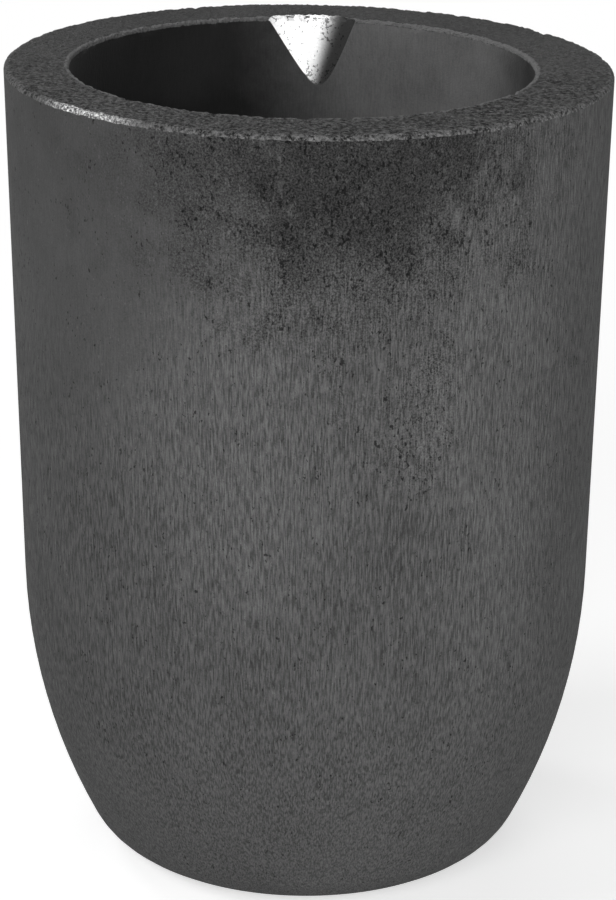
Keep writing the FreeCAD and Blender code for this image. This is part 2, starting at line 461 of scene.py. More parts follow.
@dataclass(frozen=True)
class PouringNotch:
    """The notch: one side of a cone that leans into the bore.

    Args:
        drop: from the rim down to the notch's tip.
        bite: how far it runs into the rim.
        section_radius: radius of its hollow at the rim.
        cone_angle: the cone's full angle, in degrees.
        skew: how far it drifts towards +X for each metre down.
        edge: how far its edge is worn round.
    """

    drop: float = 16.5 * MM
    bite: float = 2.9 * MM
    section_radius: float = 16.7 * MM
    cone_angle: float = 51.0
    skew: float = 0.1
    edge: float = 0.12 * MM

    def push(self, graph: Graph, x: Source, y: Source, z: Source,
             section: PotSection) -> Tuple[Socket, Socket]:
        """Work out how far a point of the bore moves out to the notch.

        The valley is the notch's deepest line.  Level cuts of the cone are
        ellipses that touch the valley, and their hollow grows with the height
        over the cone's apex.

        Args:
            graph: the tree that gets the nodes.
            x: the point's place across the notch.
            y: its place along the notch's depth.
            z: its height.
            section: the pot that the notch is cut into.

        Returns:
            The sockets of the push along +Y and of the notch's clearance there,
            which is below 0 outside the notch.
        """
        half = math.radians(self.cone_angle / 2)
        lip = section.mouth_radius + self.bite
        tip = section.mouth_radius - self.drop * math.tan(math.radians(section.bore_draft))
        valley_slope = (lip - tip) / self.drop
        apex_depth = self.section_radius / math.tan(half)
        lean = half - math.atan(valley_slope)
        squash = 1.0 - (math.sin(lean) / math.cos(half)) ** 2

        below = graph.math("SUBTRACT", section.height, z)
        valley = graph.math("MULTIPLY_ADD", below, -valley_slope, lip)
        across = graph.math("MULTIPLY_ADD", below, -self.skew, x)
        over_apex = graph.math("MAXIMUM", graph.math("SUBTRACT", apex_depth, below), 0.0)
        hollow = graph.math("MULTIPLY", over_apex, math.tan(half))
        room = graph.math("SUBTRACT", graph.math("MULTIPLY", hollow, hollow),
                          graph.math("MULTIPLY", graph.math("MULTIPLY", across, across), squash))
        inside = graph.math("MULTIPLY", graph.math("GREATER_THAN", room, 0.0),
                            graph.math("GREATER_THAN", y, 0.0))
        root = graph.math("SQRT", graph.math("MAXIMUM", room, 0.0))
        rise = graph.math("DIVIDE", graph.math("SUBTRACT", hollow, root), squash)
        surface = graph.math("SUBTRACT", valley, rise)
        clearance = graph.math("SUBTRACT", surface, y)
        outside = graph.math("SUBTRACT", 1.0, inside)
        clearance = graph.math("SUBTRACT", clearance, outside)
        clearance = graph.math("MAXIMUM", clearance, -1.0 * MM)
        push = graph.math("SMOOTH_MAX", clearance, 0.0, self.edge)
        return push, clearance


# ------------------------------------------------------------------- finishes


@dataclass(frozen=True)
class RaggedOval:
    """A ragged oval area that is darker or lighter than the rest.  Some are dark marks of the pot,
    some are painted highlights, some painted shade, and some only say where other marks are.

    Args:
        azimuth: degrees from the side opposite the notch towards +X.
        height: height of its middle.
        half_width: degrees from its middle to its side.
        half_height: from its middle to its top.
        strength: change of the grey; below 0 is darker.
        ragged: how uneven its edge is.
    """

    azimuth: float
    height: float
    half_width: float
    half_height: float
    strength: float
    ragged: float = 1.6


@dataclass(frozen=True)
class Finish:
    """The finish of one zone of the pot.

    Args:
        name: the material's name.
        grey: how light the zone is.
        roughness: how dull it is.
        sheen: specular level.
        grain: strength of the fine grain in the colour.
        grain_size: width of a grain.
        streaks: strength of the drawn streaks in the colour.
        scratches: strength of the broken dark lines between the streaks.
        patches: strength of the broad light and dark patches.
        pits: how thickly the pits stand.
        pit_size: width of a pit.
        highlight_crumbs: strength of the light specks, which are painted highlights on the grain.
        bump: depth of the relief.
        wear_grey: grey of the worn edges.
        outer_wear: how much of the outer edge is worn light.
        inner_wear: how much of the inner edge is worn light.
        glints: share of the outer edge that is bare graphite with a painted glint.
        burnish_and_highlight: whether the notch's burnished skin, with its painted highlight and
            painted shade, shows in this zone.
        stains_and_painted_light: areas that are darker or lighter; the darker are dark marks of
            the pot and painted shade, the lighter are painted highlights.
        granular: areas with a coarse, pitted grain.
        smooth: areas with fewer streaks.
        streak_depth: relief of the streaks, against the grain's.
        pit_depth: relief of the pits, against the grain's.
        pit_dark: how much darker the pits are.
        rough_pits: how many more pits a granular area has.
        darkest: the lowest level that marks can bring the grey to.
        bump_strength: strength of the relief.
    """

    name: str
    grey: float
    roughness: float = 0.7
    sheen: float = 0.15
    grain: float = 0.2
    grain_size: float = 0.5 * MM
    streaks: float = 0.0
    scratches: float = 0.0
    patches: float = 0.1
    pits: float = 0.1
    pit_size: float = 0.8 * MM
    highlight_crumbs: float = 0.0
    bump: float = 0.1 * MM
    wear_grey: float = 0.22
    outer_wear: float = 0.0
    inner_wear: float = 0.0
    glints: float = 0.0
    burnish_and_highlight: bool = False
    stains_and_painted_light: Tuple[RaggedOval, ...] = ()
    granular: Tuple[RaggedOval, ...] = ()
    smooth: Tuple[RaggedOval, ...] = ()
    streak_depth: float = 0.8
    pit_depth: float = 2.5
    pit_dark: float = 0.75
    rough_pits: float = 0.6
    darkest: float = 0.12
    bump_strength: float = 0.6


@dataclass(frozen=True)
class BurnishAndHighlight:
    """The notch's burnished skin.  Its flank towards -X is painted bright with a metal shine as a
    highlight, and its other flank is painted dark as shade.

    Args:
        grey: grey of the bright flank, a painted highlight.
        painted_shade_grey: grey of the other flank, painted shade.
        metallic: how far it shines like bare graphite.
        roughness: how dull it is.
        turn_start: place across the notch's top where the bright flank ends.
        turn_end: place across its top where the dull flank starts.
        start_slope: how far that first place moves back for each metre down.
        end_slope: the same for the second.
        top: the height at which those places are given.
        fade: how deep the notch is where its skin is whole.
        pore_size: width of the pores.
        pores: how thickly they stand.
        pore_dark: how much darker they are.
        grain: strength of the grain in the skin.
        smoothed: share of the relief that the burnish takes away.
        painted_glint_grey: how much lighter the bare graphite on the rim's edge is, a painted
            glint.
        glint_polish: how much less rough it is.
    """

    grey: float = 0.78
    painted_shade_grey: float = 0.045
    metallic: float = 0.9
    roughness: float = 0.33
    turn_start: float = 2.0 * MM
    turn_end: float = 10.2 * MM
    start_slope: float = 0.2
    end_slope: float = 0.38
    top: float = 192.0 * MM
    fade: float = 0.1 * MM
    pore_size: float = 0.8 * MM
    pores: float = 1.3
    pore_dark: float = 0.7
    grain: float = 0.08
    smoothed: float = 0.8
    painted_glint_grey: float = 0.6
    glint_polish: float = 0.35


OUTSIDE_FINISH = Finish(
    "graphite_outside", 0.092, roughness=0.8, sheen=0.1, grain=0.14, grain_size=0.42 * MM,
    streaks=0.42, scratches=0.35, patches=0.06, pits=0.75, highlight_crumbs=0.35, bump=0.16 * MM,
    outer_wear=0.1,
    stains_and_painted_light=(RaggedOval(12.0, 184.0 * MM, 34.0, 22.0 * MM, -0.42, 2.2),
            RaggedOval(4.0, 186.0 * MM, 48.0, 48.0 * MM, -0.25, 2.2),
            # Painted shade: this oval darkens the upper left of the outside.
            RaggedOval(-30.0, 205.0 * MM, 80.0, 60.0 * MM, -0.16, 1.0),
            # Painted highlights: these two ovals lighten the front left and the right of the
            # outside, where light falls on it.
            RaggedOval(-15.0, 122.0 * MM, 28.0, 50.0 * MM, 0.2, 0.8),
            RaggedOval(38.0, 120.0 * MM, 22.0, 80.0 * MM, 0.16, 0.8)),
    granular=(RaggedOval(8.0, 188.0 * MM, 46.0, 54.0 * MM, 0.75, 1.5),
              RaggedOval(20.0, 126.0 * MM, 12.0, 22.0 * MM, 0.3, 1.5)),
    smooth=(RaggedOval(-48.0, 172.0 * MM, 42.0, 62.0 * MM, -0.85, 0.8),
            RaggedOval(2.0, 188.0 * MM, 40.0, 36.0 * MM, -0.8, 1.2)))
RIM_FINISH = Finish(
    "graphite_rim", 0.08, roughness=0.8, sheen=0.1, grain=0.3, grain_size=1.1 * MM,
    patches=0.1, pits=0.5, pit_size=1.5 * MM, highlight_crumbs=1.2, bump=0.5 * MM, outer_wear=0.3,
    inner_wear=0.75, glints=0.4, burnish_and_highlight=True,
    granular=(RaggedOval(0.0, 192.0 * MM, 120.0, 50.0 * MM, 1.0, 0.8),))
# Painted shade and painted highlight: the bore's low grey is painted shade, and its one oval is a
# painted highlight that makes the far wall towards +X much lighter.
BORE_FINISH = Finish(
    "graphite_bore", 0.024, roughness=0.6, sheen=0.1, grain=0.08, streaks=0.08, patches=0.2,
    pits=0.05, bump=0.05 * MM, inner_wear=0.5, burnish_and_highlight=True,
    stains_and_painted_light=(RaggedOval(150.0, 180.0 * MM, 46.0, 110.0 * MM, 6.0, 0.4),))


# Painted glint: the bare graphite on the rim's outer edge is made bright only in this oval at the
# front left.
GLINT_AREA = RaggedOval(-44.0, 191.0 * MM, 13.0, 10.0 * MM, 1.0, 0.6)
GLINT_SIZE = 0.5 * MM
# Size and offset of the light crumbs, which are painted highlights on the grain.
HIGHLIGHT_CRUMB_SIZE = 0.6 * MM
GLINT_OFFSET = (0.3, 0.1, 0.2)
HIGHLIGHT_CRUMB_OFFSET = (0.05, 0.02, 0.03)


class Textures:
    """The shader groups that the finishes share.  Each gives a value or a mask."""

    def __init__(self) -> None:
        """Build each group once, by name."""
        self.groups = {
            "grain": self._even("grain", 0.5 * MM, 2.0, 0.7, 0.25),
            "streaks": self._even("streaks", 0.34 * MM, 1.5, 0.6, 0.22, 0.1),
            "scratches": self._scratches(),
            "pits": self._pits(),
            "patches": self._even("patches", 22.0 * MM, 3.0, 0.55, 0.2),
            "ragged_oval": self._ragged_oval(),
            "wear": self._wear()}

    @staticmethod
    def _start(name: str, inputs: Dict[str, object], output: str) -> Tuple[Graph, Dict, Socket]:
        """Start a group that reads a point, and give its graph, inputs and output."""
        return new_group(name, "ShaderNodeTree", {"Vector": None, **inputs}, output)

    def _even(self, name: str, size: float, detail: float, roughness: float, spread: float,
              stretch: float = 1.0) -> Tree:
        """Noise around 0.

        Args:
            name: the group's name.
            size: width of a lump.
            detail: how many finer layers are added.
            roughness: how strong the finer layers are.
            spread: half the range of the noise that is used.
            stretch: share of the height that is kept; below 1 draws upright lines.

        Returns:
            The group.
        """
        graph, given, out = self._start(name, {"Size": size}, "Value")
        place = graph.stretched(given["Vector"], stretch)
        value = graph.noise(place, graph.math("DIVIDE", 1.0, given["Size"]), detail, roughness)
        graph.feed(out, graph.ramp(value, 0.5 - spread, 0.5 + spread, -1.0, 1.0))
        return graph.tree

    def _pits(self) -> Tree:
        """Pits: small ragged holes that stand in clusters, 1 inside."""
        graph, given, out = self._start(
            "pits", {"Size": 0.8 * MM, "Amount": 0.2, "Stretch": 0.6}, "Mask")
        place = graph.stretched(given["Vector"], given["Stretch"])
        fine = graph.noise(place, graph.math("DIVIDE", 1.0, given["Size"]), 2.0, 0.6)
        cluster = graph.noise(given["Vector"], graph.math("DIVIDE", 0.12, given["Size"]))
        value = graph.math("MULTIPLY_ADD", graph.math("SUBTRACT", cluster, 0.5), 0.35, fine)
        needed = graph.math("MULTIPLY_ADD", given["Amount"], -0.14, 0.78)
        graph.feed(out, graph.ramp(value, needed, graph.math("ADD", needed, 0.05)))
        return graph.tree

    def _scratches(self) -> Tree:
        """Scratches: short, wavering upright lines, 1 in the line."""
        graph, given, out = self._start("scratches", {"Size": 1.4 * MM, "Stretch": 0.22}, "Mask")
        scale = graph.math("DIVIDE", 1.0, given["Size"])
        place = graph.stretched(given["Vector"], given["Stretch"])
        value = graph.noise(place, scale, detail=1.0, roughness=0.4)
        off = graph.math("ABSOLUTE", graph.math("SUBTRACT", value, 0.5))
        line = graph.ramp(off, 0.0, 0.035, 1.0, 0.0)
        broken = graph.noise(given["Vector"], graph.math("MULTIPLY", scale, 0.9), detail=3.0)
        graph.feed(out, graph.math("MULTIPLY", line, graph.ramp(broken, 0.48, 0.6)))
        return graph.tree

    def _ragged_oval(self) -> Tree:
        """Ragged oval: an area on the wall, 1 in its middle and 0 outside.  It bounds dark marks,
        painted highlights, painted shade and other marks.
        """
        graph, given, out = self._start(
            "ragged_oval", {"Azimuth": 0.0, "Height": 0.0, "Half width": 0.5, "Half height": 0.02,
                      "Ragged": 1.0}, "Mask")
        x, y, z = graph.split(given["Vector"])
        turn = graph.math("ARCTAN2", x, graph.math("MULTIPLY", y, -1.0))
        aside = graph.math("WRAP", graph.math("SUBTRACT", turn, given["Azimuth"]),
                           math.pi, -math.pi)
        aside = graph.math("DIVIDE", aside, given["Half width"])
        above = graph.math("DIVIDE", graph.math("SUBTRACT", z, given["Height"]),
                           given["Half height"])
        distance = graph.math("SQRT", graph.math(
            "ADD", graph.math("MULTIPLY", aside, aside), graph.math("MULTIPLY", above, above)))
        uneven = graph.noise(given["Vector"], 90.0, detail=5.0, roughness=0.65)
        uneven = graph.math("MULTIPLY", graph.math("SUBTRACT", uneven, 0.5), given["Ragged"])
        graph.feed(out, graph.ramp(graph.math("ADD", distance, uneven), 0.35, 1.15, 1.0, 0.0))
        return graph.tree

    def _wear(self) -> Tree:
        """Wear: broken lines along an edge, 1 where it is rubbed bare."""
        graph, given, out = self._start(
            "wear", {"Edge": 0.0, "Size": 0.8 * MM, "Amount": 0.5}, "Mask")
        scale = graph.math("DIVIDE", 1.0, given["Size"])
        uneven = graph.noise(given["Vector"], scale, detail=3.0, roughness=0.7)
        needed = graph.math("MULTIPLY_ADD", given["Amount"], -0.45, 0.95)
        held = graph.math("MULTIPLY", given["Edge"], graph.math("ADD", uneven, 0.25))
        graph.feed(out, graph.ramp(held, graph.math("SUBTRACT", needed, 0.12),
                                   graph.math("ADD", needed, 0.12)))
        return graph.tree


class ZoneMaterial:
    """Builds the material of one zone of the pot."""

    def __init__(self, finish: Finish, groups: Dict[str, Tree], burnish_and_highlight: BurnishAndHighlight) -> None:
        """Start the material.

        Args:
            finish: the zone's finish.
            groups: the shared shader groups by name.
            burnish_and_highlight: the skin of the notch, with its painted highlight and painted
                shade.
        """
        self.finish = finish
        self.groups = groups
        self.burnish_and_highlight = burnish_and_highlight
        self.material = bpy.data.materials.new(finish.name)
        self.material.use_nodes = True
        self.graph = Graph(self.material.node_tree)
        self.place = self.graph.add("ShaderNodeTexCoord").outputs["Object"]
        self.grain = self._use("grain", Size=finish.grain_size)

    def _use(self, group: str, **inputs: Source) -> Socket:
        """Read a shared group at the point on the pot, or at another Vector."""
        sources = {name.replace("_", " "): source for name, source in inputs.items()}
        return self.graph.make("ShaderNodeGroup", {"Vector": self.place, **sources},
                               node_tree=self.groups[group]).outputs[0]

    def _area(self, area: RaggedOval) -> Socket:
        """Mask of a ragged oval area."""
        return self._use("ragged_oval", Azimuth=math.radians(area.azimuth), Height=area.height,
                         Half_width=math.radians(area.half_width),
                         Half_height=area.half_height, Ragged=area.ragged)

    def _scaled_in_ovals(self, level: Source, stains_and_painted_light: Sequence[RaggedOval]) -> Source:
        """Scale a level up or down inside ragged ovals, and return it; some ovals are painted
        highlights and painted shade.
        """
        for ragged_oval in stains_and_painted_light:
            factor = self.graph.math("MULTIPLY_ADD", self._area(ragged_oval), ragged_oval.strength, 1.0)
            level = self.graph.math("MULTIPLY", level, factor)
        return level

    def _glints(self) -> Socket:
        """Mask of the bare graphite on the outer edge that carries a painted glint, kept to one
        spot at the front left.
        """
        shine = self._use("wear", Vector=self.graph.moved(self.place, GLINT_OFFSET),
                          Edge=self.graph.attribute("outer_edge"), Size=GLINT_SIZE,
                          Amount=self.finish.glints)
        return self.graph.math("MULTIPLY", shine, self._area(GLINT_AREA))

    def _burnished_and_lit(self) -> Tuple[Socket, Socket, Socket]:
        """The notch's mask, the share of its bright flank, which is a painted highlight, and its
        grey, with painted shade on the other flank.
        """
        graph, burnish_and_highlight = self.graph, self.burnish_and_highlight
        mask = graph.ramp(graph.attribute("notch"), 0.0, burnish_and_highlight.fade)
        x, _, z = graph.split(self.place)
        below = graph.math("SUBTRACT", burnish_and_highlight.top, z)
        start = graph.math("MULTIPLY_ADD", below, -burnish_and_highlight.start_slope, burnish_and_highlight.turn_start)
        end = graph.math("MULTIPLY_ADD", below, -burnish_and_highlight.end_slope, burnish_and_highlight.turn_end)
        # Painted highlight and painted shade: the flank towards -X is painted bright and the other
        # flank dark.
        bright = graph.ramp(x, start, end, 1.0, 0.0)
        skin = graph.ramp(bright, 0.0, 1.0, burnish_and_highlight.painted_shade_grey, burnish_and_highlight.grey)
        pores = self._use("pits", Size=burnish_and_highlight.pore_size, Amount=burnish_and_highlight.pores, Stretch=1.0)
        for marks, strength in ((pores, -burnish_and_highlight.pore_dark), (self.grain, burnish_and_highlight.grain)):
            skin = graph.math("MULTIPLY", skin,
                              graph.math("MULTIPLY_ADD", marks, strength, 1.0))
        return mask, bright, skin

    def _marked(self) -> Tuple[Source, Source]:
        """Grey and relief of the grain, streaks, scratches, pits and light specks, which are
        painted highlights.
        """
        graph, finish = self.graph, self.finish
        coarse: Source = finish.grain
        rough: Source = 0.0
        for area in finish.granular:
            mask = self._area(area)
            coarse = graph.math("MULTIPLY_ADD", mask, area.strength, coarse)
            rough = graph.math("MAXIMUM", rough, mask)
        level = graph.math("MULTIPLY_ADD", self._use("patches"), finish.patches, 1.0)
        level = graph.math("ADD", level, graph.math("MULTIPLY", self.grain, coarse))
        relief = self.grain
        if finish.streaks:
            streaks = self._use("streaks")
            drawn = self._scaled_in_ovals(finish.streaks, finish.smooth)
            level = graph.math("ADD", level, graph.math("MULTIPLY", streaks, drawn))
            relief = graph.math("MULTIPLY_ADD", streaks, finish.streak_depth, relief)
        level = self._scaled_in_ovals(level, finish.stains_and_painted_light)
        if finish.scratches:
            lines = self._use("scratches")
            dark = graph.math("MULTIPLY", lines, self._scaled_in_ovals(finish.scratches, finish.smooth))
            level = graph.math("MULTIPLY", level, graph.math("SUBTRACT", 1.0, dark))
            relief = graph.math("SUBTRACT", relief, lines)
        amount = graph.math("MULTIPLY_ADD", rough, finish.rough_pits, finish.pits)
        pits = self._use("pits", Size=finish.pit_size, Amount=amount)
        relief = graph.math("MULTIPLY_ADD", pits, -finish.pit_depth, relief)
        grey = graph.math("MULTIPLY", graph.math("MAXIMUM", level, finish.darkest), finish.grey)
        grey = graph.math("MULTIPLY", grey,
                          graph.math("MULTIPLY_ADD", pits, -finish.pit_dark, 1.0))
        # Painted highlights: light specks on the grain, which also stand up in the relief.
        if finish.highlight_crumbs:
            highlight_crumbs = self._use("pits", Vector=graph.moved(self.place, HIGHLIGHT_CRUMB_OFFSET),
                               Size=HIGHLIGHT_CRUMB_SIZE, Amount=amount)
            grey = graph.math("MULTIPLY_ADD", highlight_crumbs, finish.grey * finish.highlight_crumbs, grey)
            relief = graph.math("ADD", relief, highlight_crumbs)
        return grey, relief

    def build(self) -> bpy.types.Material:
        """Wire the finish into the shader, and return the material."""
        graph, finish, burnish_and_highlight = self.graph, self.finish, self.burnish_and_highlight
        grey, relief = self._marked()
        for name, amount in (("outer_edge", finish.outer_wear), ("inner_edge", finish.inner_wear)):
            if amount:
                worn = self._use("wear", Edge=graph.attribute(name), Amount=amount)
                lift = graph.math("SUBTRACT", finish.wear_grey, grey)
                grey = graph.math("MULTIPLY_ADD", worn, lift, grey)
        metallic: Source = 0.0
        roughness = graph.math("MULTIPLY_ADD", self.grain, 0.05, finish.roughness)
        if finish.glints:
            shine = self._glints()
            metallic = graph.math("MULTIPLY", shine, burnish_and_highlight.metallic)
            # Painted glint: the bare graphite's grey is lifted.
            grey = graph.math("MULTIPLY_ADD", shine, burnish_and_highlight.painted_glint_grey, grey)
            roughness = graph.math("MULTIPLY_ADD", shine, -burnish_and_highlight.glint_polish, roughness)
        # The notch's painted highlight and painted shade on its two flanks come in here.
        if finish.burnish_and_highlight:
            mask, bright, skin = self._burnished_and_lit()
            grey = graph.math("MULTIPLY_ADD", mask, graph.math("SUBTRACT", skin, grey), grey)
            # The metal shine is kept to the flank with the painted highlight.
            shine = graph.math("MULTIPLY", graph.math("MULTIPLY", mask, bright),
                               burnish_and_highlight.metallic)
            metallic = graph.math("MAXIMUM", shine, metallic)
            roughness = graph.math("MULTIPLY_ADD", mask, graph.math(
                "SUBTRACT", burnish_and_highlight.roughness, roughness), roughness)
            relief = graph.math("MULTIPLY", relief, graph.math(
                "MULTIPLY_ADD", mask, -burnish_and_highlight.smoothed, 1.0))
        bump = graph.make("ShaderNodeBump", {"Height": relief, "Distance": finish.bump,
                                             "Strength": finish.bump_strength})
        shader = self.material.node_tree.nodes["Principled BSDF"]
        for name, source in (
                ("Base Color", graph.combine(grey, grey, grey)), ("Roughness", roughness),
                ("Metallic", metallic), ("Specular IOR Level", finish.sheen),
                ("Normal", bump.outputs[0])):
            graph.feed(shader.inputs[name], source)
        return self.material


# ------------------------------------------------------------------- crucible


@dataclass(frozen=True)
class Damage:
    """Loss of material where smooth noise is high.

    Args:
        scale: lumps in a metre.
        detail: how many finer layers the noise has.
        roughness: how strong they are.
        low: noise at which the loss starts.
        high: noise at which it is whole.
        depth: depth of the loss there.
    """

    scale: float
    detail: float
    roughness: float
    low: float
    high: float
    depth: float


CHIPS = Damage(170.0, 4.0, 0.65, 0.52, 0.72, 0.4 * MM)
NICKS = Damage(420.0, 3.0, 0.6, 0.45, 0.7, 0.35 * MM)
BUMPS = Damage(900.0, 2.0, 0.6, 0.35, 0.65, 0.25 * MM)


@dataclass
class Crucible:
    """The pot: section, notch and rim wear, turned into one mesh.

    Args:
        section: the pot's section.
        notch: the pouring notch.
        columns: how many steps the section makes round the axis.
        gather: how far the steps gather at the notch, in two harmonics.
        bore_shift: how far the bore stands off the axis, along X.
        rim_drop: how much lower the rim stands on the +X side.
        drop_start: share of the height at which that drop starts.
        seed: chooses the chips.
    """

    section: PotSection
    notch: PouringNotch = PouringNotch()
    columns: int = 600
    gather: Tuple[float, float] = (0.35, 0.35)
    bore_shift: float = -1.6 * MM
    rim_drop: float = 1.3 * MM
    drop_start: float = 0.6
    seed: int = 7

    def _section_object(self) -> bpy.types.Object:
        """Make the section as a row of vertices with their attributes."""
        stations = self.section.stations()
        mesh = bpy.data.meshes.new("crucible_section")
        mesh.from_pydata([(s.radius, 0.0, s.height) for s in stations], [], [])
        columns = {"zone": [float(s.zone.value) for s in stations],
                   "bumpy": [float(s.zone is Zone.RIM) for s in stations]}
        for name in ("shift", "push", "push_radius", "outer_wear", "inner_wear"):
            columns[name] = [getattr(s, name) for s in stations]
        for name, values in columns.items():
            attribute = mesh.attributes.new(name, "FLOAT", "POINT")
            attribute.data.foreach_set("value", values)
        LOG.info("section: %d stations", len(stations))
        return new_object("graphite_crucible", mesh)

    @staticmethod
    def _lost(graph: Graph, place: Source, damage: Damage, where: Source,
              depth: Source) -> Socket:
        """How deep one kind of damage is at a point.

        Args:
            graph: the tree.
            place: the point where its noise is read.
            damage: the kind.
            where: its share there, from 0 to 1.
            depth: its full depth.

        Returns:
            The depth's socket.
        """
        value = graph.noise(place, damage.scale, damage.detail, damage.roughness)
        share = graph.math("MULTIPLY", graph.ramp(value, damage.low, damage.high), where)
        return graph.math("MULTIPLY", share, depth)

    def _tree(self, materials: Materials) -> Tree:
        """Build the tree that turns the section into the pot, in these materials."""
        graph, given, wanted = new_group("turned_pot", "GeometryNodeTree", {
            "Geometry": None, "Columns": self.columns, "Seed": float(self.seed),
            "Chip depth": CHIPS.depth, "Nick depth": NICKS.depth, "Bump depth": BUMPS.depth},
            "Geometry")
        graph.tree.is_modifier = True
        rows = graph.make("GeometryNodeAttributeDomainSize",
                          {"Geometry": given["Geometry"]}).outputs["Point Count"]
        grid = graph.make("GeometryNodeMeshGrid", {
            "Vertices X": graph.math("ADD", given["Columns"], 1.0), "Vertices Y": rows})
        index = graph.add("GeometryNodeInputIndex").outputs[0]
        row = graph.math("MODULO", index, rows)
        column = graph.math("FLOOR", graph.math("DIVIDE", graph.math("ADD", index, 0.5), rows))

        def sampled(name: str) -> Socket:
            """Read one attribute of the section at this vertex's row."""
            stored = graph.make("GeometryNodeInputNamedAttribute", {"Name": name},
                                data_type="FLOAT").outputs[0]
            return graph.make("GeometryNodeSampleIndex", {
                "Geometry": given["Geometry"], "Value": stored, "Index": row},
                data_type="FLOAT", domain="POINT").outputs[0]

        place = graph.make("GeometryNodeSampleIndex", {
            "Geometry": given["Geometry"],
            "Value": graph.add("GeometryNodeInputPosition").outputs[0], "Index": row},
            data_type="FLOAT_VECTOR", domain="POINT").outputs[0]
        radius, _, height = graph.split(place)

        even = graph.math("MULTIPLY", graph.math("DIVIDE", column, given["Columns"]), math.tau)
        first = graph.math("MULTIPLY", graph.math("SINE", even), -self.gather[0])
        twice = graph.math("SINE", graph.math("MULTIPLY", even, 2.0))
        angle = graph.math("ADD", graph.math("ADD", even, first),
                           graph.math("MULTIPLY", twice, -self.gather[1] / 2))
        sine = graph.math("SINE", angle)
        cosine = graph.math("COSINE", angle)

        push_radius = sampled("push_radius")
        shift = graph.math("MULTIPLY", sampled("shift"), self.bore_shift)
        push, clearance = self.notch.push(
            graph, graph.math("MULTIPLY_ADD", push_radius, sine, shift),
            graph.math("MULTIPLY", push_radius, cosine), height, self.section)
        push = graph.math("MULTIPLY", push, sampled("push"))

        spot = graph.combine(graph.math("MULTIPLY", radius, sine),
                             graph.math("MULTIPLY", radius, cosine), height)
        seeded = graph.moved(spot, graph.combine(given["Seed"], 0.0, 0.0))
        outer_wear = sampled("outer_wear")
        inner_wear = sampled("inner_wear")
        chip = self._lost(graph, seeded, CHIPS, outer_wear, given["Chip depth"])
        nick = self._lost(graph, seeded, NICKS, inner_wear, given["Nick depth"])
        bump = self._lost(graph, seeded, BUMPS, sampled("bumpy"), given["Bump depth"])
        worn_radius = graph.math("ADD", radius, graph.math("SUBTRACT", nick, chip))
        worn_height = graph.math("SUBTRACT", height, graph.math("ADD", nick, chip))
        worn_height = graph.math("SUBTRACT", worn_height, bump)
        aside = graph.math("MULTIPLY_ADD", graph.math(
            "DIVIDE", graph.math("MULTIPLY", radius, sine), self.section.rim_radius), 0.5, 0.5)
        drop = graph.math("MULTIPLY", aside, graph.ramp(
            height, self.section.height * self.drop_start, self.section.height, 0.0,
            self.rim_drop))
        worn_height = graph.math("SUBTRACT", worn_height, drop)
        spot = graph.combine(
            graph.math("MULTIPLY_ADD", worn_radius, sine, shift),
            graph.math("ADD", graph.math("MULTIPLY", worn_radius, cosine), push),
            worn_height)

        turned = graph.make("GeometryNodeSetPosition", {
            "Geometry": grid.outputs["Mesh"], "Position": spot}).outputs[0]
        turned = self._stored(graph, turned, "zone", sampled("zone"))
        turned = self._stored(graph, turned, "notch", graph.math(
            "MULTIPLY", clearance, graph.math("GREATER_THAN", sampled("push"), 0.99)))
        turned = self._stored(graph, turned, "outer_edge", outer_wear)
        turned = self._stored(graph, turned, "inner_edge", inner_wear)
        merged = graph.make("GeometryNodeMergeByDistance", {
            "Geometry": turned, "Distance": 1e-6}).outputs[0]
        smooth = graph.make("GeometryNodeSetShadeSmooth", {"Geometry": merged},
                            domain="FACE").outputs[0]
        dressed = self._dressed(graph, smooth, materials)
        real = graph.make("GeometryNodeRealizeInstances", {"Geometry": dressed}).outputs[0]
        graph.feed(wanted, real)
        return graph.tree

    @staticmethod
    def _stored(graph: Graph, geometry: Source, name: str, value: Source) -> Socket:
        """Keep a value on every vertex under a name."""
        return graph.make("GeometryNodeStoreNamedAttribute", {
            "Geometry": geometry, "Name": name, "Value": value},
            data_type="FLOAT", domain="POINT").outputs[0]

    @staticmethod
    def _dressed(graph: Graph, geometry: Source, materials: Materials) -> Source:
        """Give every face of the turned pot the material of its zone."""
        zone = graph.make("GeometryNodeInputNamedAttribute", {"Name": "zone"},
                          data_type="FLOAT").outputs[0]
        for member, material in materials.items():
            chosen = graph.math("GREATER_THAN", zone, member.value - 0.4)
            geometry = graph.make("GeometryNodeSetMaterial", {
                "Geometry": geometry, "Selection": chosen, "Material": material}).outputs[0]
        return geometry

    def build(self, materials: Materials) -> bpy.types.Object:
        """Make the pot as a plain mesh in its zones' materials, and return it."""
        piece = self._section_object()
        modifier = piece.modifiers.new("turned_pot", "NODES")
        modifier.node_group = self._tree(materials)
        depsgraph = bpy.context.evaluated_depsgraph_get()
        mesh = bpy.data.meshes.new_from_object(piece.evaluated_get(depsgraph))
        piece.modifiers.clear()
        section_mesh = piece.data
        piece.data = mesh
        bpy.data.meshes.remove(section_mesh)
        mesh.name = piece.name
        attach(piece, "root")
        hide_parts("crucible")
        LOG.info("%s: %d vertices, %d faces", piece.name, len(mesh.vertices), len(mesh.polygons))
        return piece


# --------------------------------------------------------------------- studio


